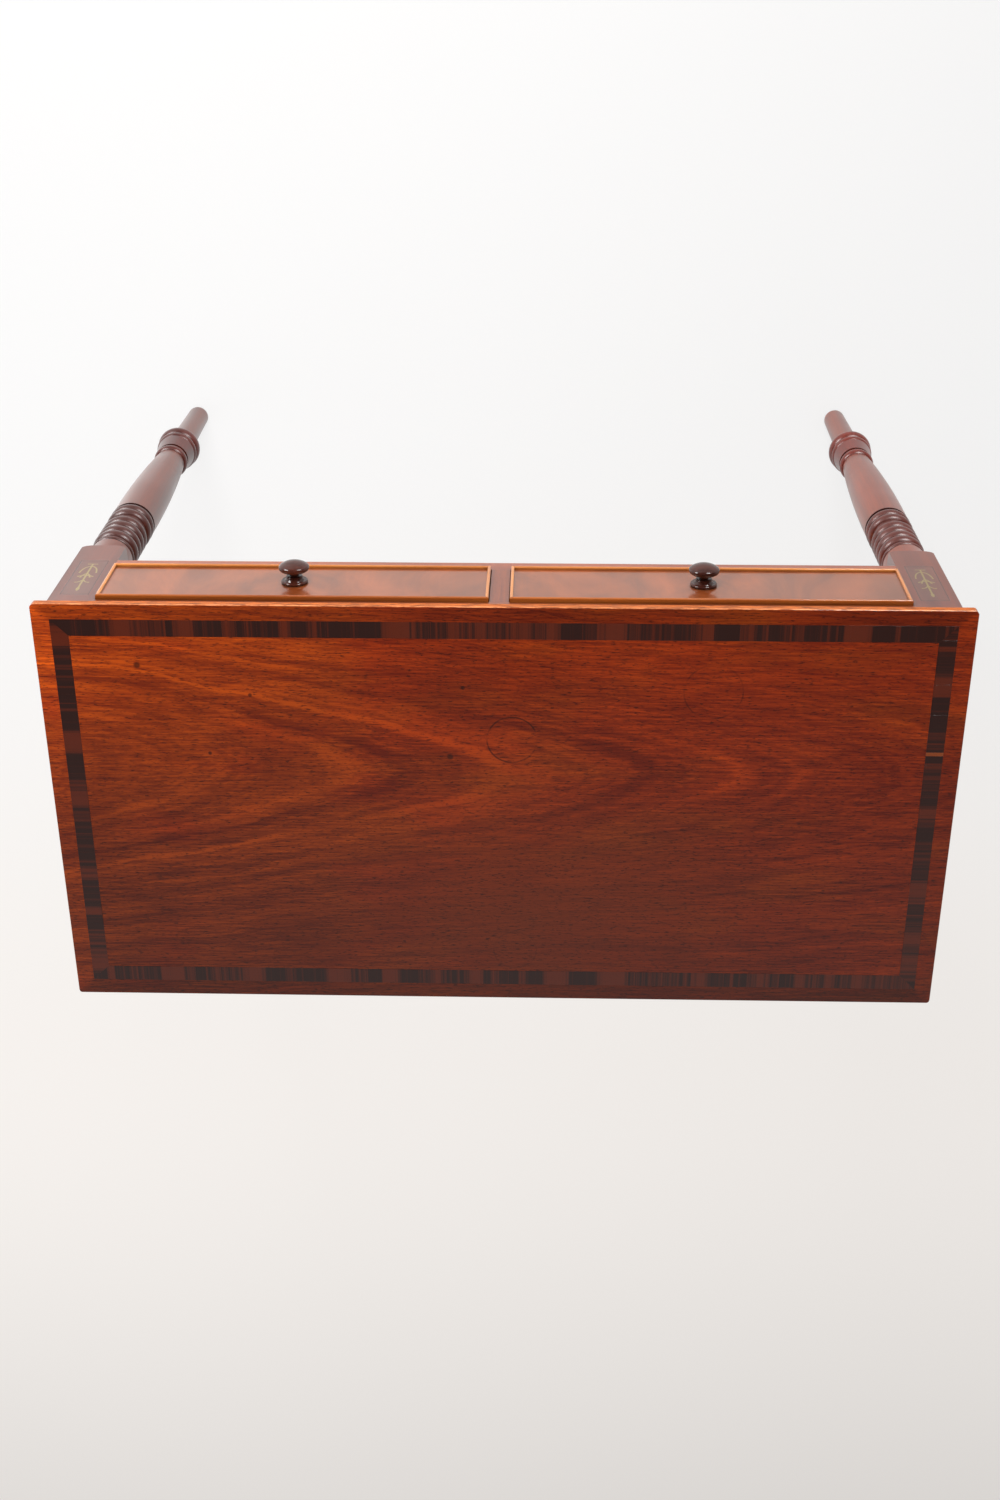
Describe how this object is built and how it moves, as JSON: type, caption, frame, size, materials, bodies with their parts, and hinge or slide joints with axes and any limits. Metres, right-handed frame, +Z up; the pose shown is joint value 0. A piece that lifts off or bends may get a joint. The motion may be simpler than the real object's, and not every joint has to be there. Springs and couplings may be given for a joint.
{
  "type": "writing desk",
  "caption": "Writing desk with a cross-banded top on turned legs, frieze drawers with cockbeads and mushroom knobs, and scroll inlay on the leg blocks.",
  "frame": {"origin": "on the floor, at the middle of the desk's bounding box, knobs included", "axes": "+X to the right for someone who faces the drawers, along the length; -Y out of the drawer fronts, so +Y is the back; +Z up"},
  "size_m": [0.914, 0.47, 0.738],
  "materials": {
    "top_mahogany": "french polished",
    "banding": "french polished",
    "leg_mahogany": "french polished",
    "frame_mahogany": "french polished",
    "block_panel": "french polished",
    "inlay": "french polished",
    "flame_veneer": "french polished",
    "cockbead": "french polished",
    "knob": "polished, near black",
    "inner_wood": "planed, unpolished",
    "iron": "dull, slightly darkened"
  },
  "bodies": {
    "carcase": {"top_board": "top_mahogany", "front_banding": "banding", "back_banding": "banding", "left_banding": "banding", "right_banding": "banding", "front_left_leg": "leg_mahogany", "front_right_leg": "leg_mahogany", "back_left_leg": "leg_mahogany", "back_right_leg": "leg_mahogany", "left_block_panel": "block_panel", "right_block_panel": "block_panel", "left_scroll_inlay": "inlay", "right_scroll_inlay": "inlay", "back_rail": "frame_mahogany", "left_side_rail": "frame_mahogany", "right_side_rail": "frame_mahogany", "front_top_rail": "frame_mahogany", "front_bottom_rail": "frame_mahogany", "front_divider": "frame_mahogany", "left_runner": "inner_wood", "right_runner": "inner_wood", "middle_runner": "inner_wood", "left_guide": "inner_wood", "right_guide": "inner_wood", "middle_guide": "inner_wood", "left_kicker": "inner_wood", "right_kicker": "inner_wood", "middle_kicker": "inner_wood", "drawer_stops": "inner_wood", "glue_blocks": "inner_wood", "top_screws": "iron"},
    "left_drawer": {"left_drawer_front": "inner_wood", "left_drawer_veneer": "flame_veneer", "left_drawer_left_side": "inner_wood", "left_drawer_right_side": "inner_wood", "left_drawer_back": "inner_wood", "left_drawer_bottom": "inner_wood", "left_cockbead_top": "cockbead", "left_cockbead_bottom": "cockbead", "left_cockbead_left": "cockbead", "left_cockbead_right": "cockbead", "left_knob": "knob", "left_bottom_nails": "iron"},
    "right_drawer": {"right_drawer_front": "inner_wood", "right_drawer_veneer": "flame_veneer", "right_drawer_left_side": "inner_wood", "right_drawer_right_side": "inner_wood", "right_drawer_back": "inner_wood", "right_drawer_bottom": "inner_wood", "right_cockbead_top": "cockbead", "right_cockbead_bottom": "cockbead", "right_cockbead_left": "cockbead", "right_cockbead_right": "cockbead", "right_knob": "knob", "right_bottom_nails": "iron"}
  },
  "joints": [
    {"name": "left_drawer_slide", "type": "slide", "parent": "carcase", "child": "left_drawer", "axis": [0, -1, 0], "range_m": [0, 0.28]},
    {"name": "right_drawer_slide", "type": "slide", "parent": "carcase", "child": "right_drawer", "axis": [0, -1, 0], "range_m": [0, 0.28]}
  ]
}
